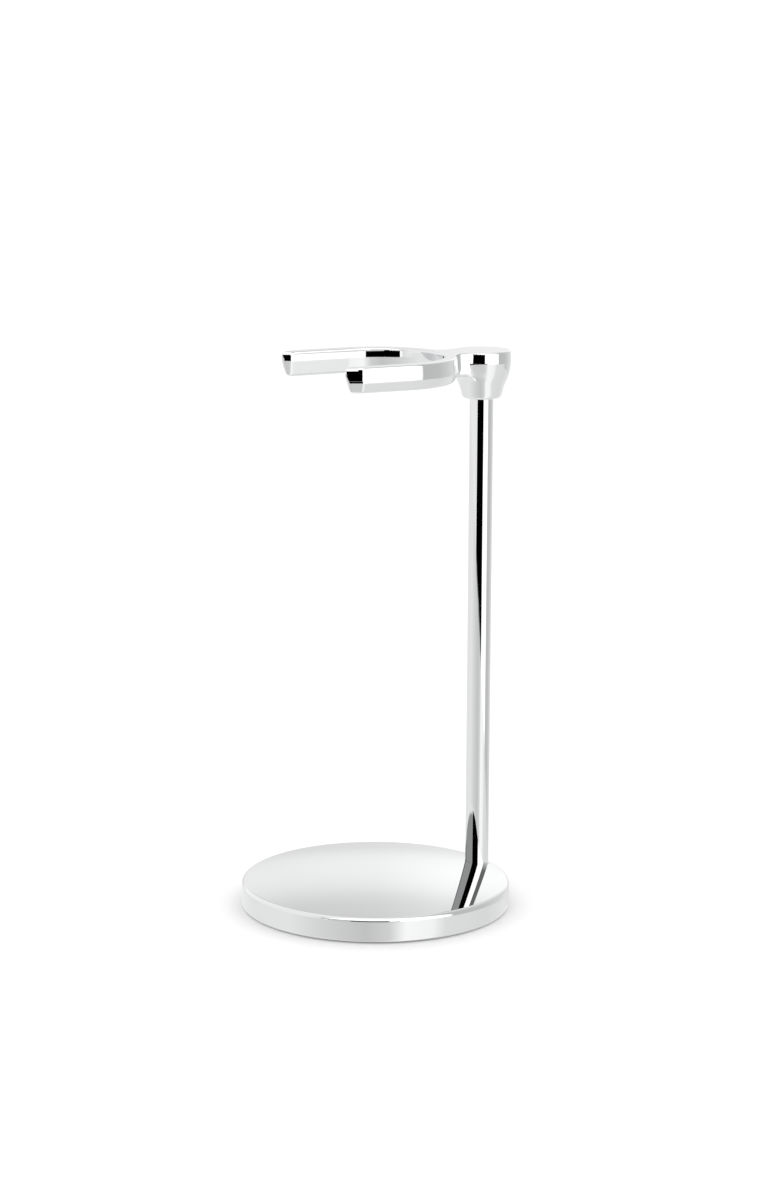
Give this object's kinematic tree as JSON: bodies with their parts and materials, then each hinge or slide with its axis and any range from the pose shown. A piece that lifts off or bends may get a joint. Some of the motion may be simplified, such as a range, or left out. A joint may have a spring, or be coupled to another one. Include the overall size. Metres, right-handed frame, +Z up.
{
  "type": "shaving brush and razor stand",
  "caption": "Free-standing chromed stand: weighted domed round base, slim post near its rim, and a cast head with an open U-shaped fork that holds a shaving brush or razor.",
  "frame": {"origin": "centre of the round base on the pad's underside, where the stand rests", "axes": "+Z up along the post; the fork opens towards -Y and the post stands at +Y; the stand is a mirror image of itself about the YZ plane"},
  "size_m": [0.068, 0.0707, 0.1402],
  "materials": {
    "polished_chrome": "mirror-polished chrome plate",
    "zinc_plated_steel": "bright zinc-plated fasteners",
    "raw_steel": "oiled raw steel, turned faces",
    "adhesive_film": "thin milky double-sided film",
    "black_rubber": "matt, finely grained non-slip sheet"
  },
  "bodies": {
    "root": {"fork_head": "polished_chrome", "head_stud": "zinc_plated_steel", "post": "polished_chrome", "base_cap": "polished_chrome", "ballast_disc": "raw_steel", "ballast_screws": "zinc_plated_steel", "base_screw": "zinc_plated_steel", "lock_washer": "zinc_plated_steel", "flat_washer": "zinc_plated_steel", "pad_film": "adhesive_film", "base_pad": "black_rubber"}
  },
  "joints": []
}
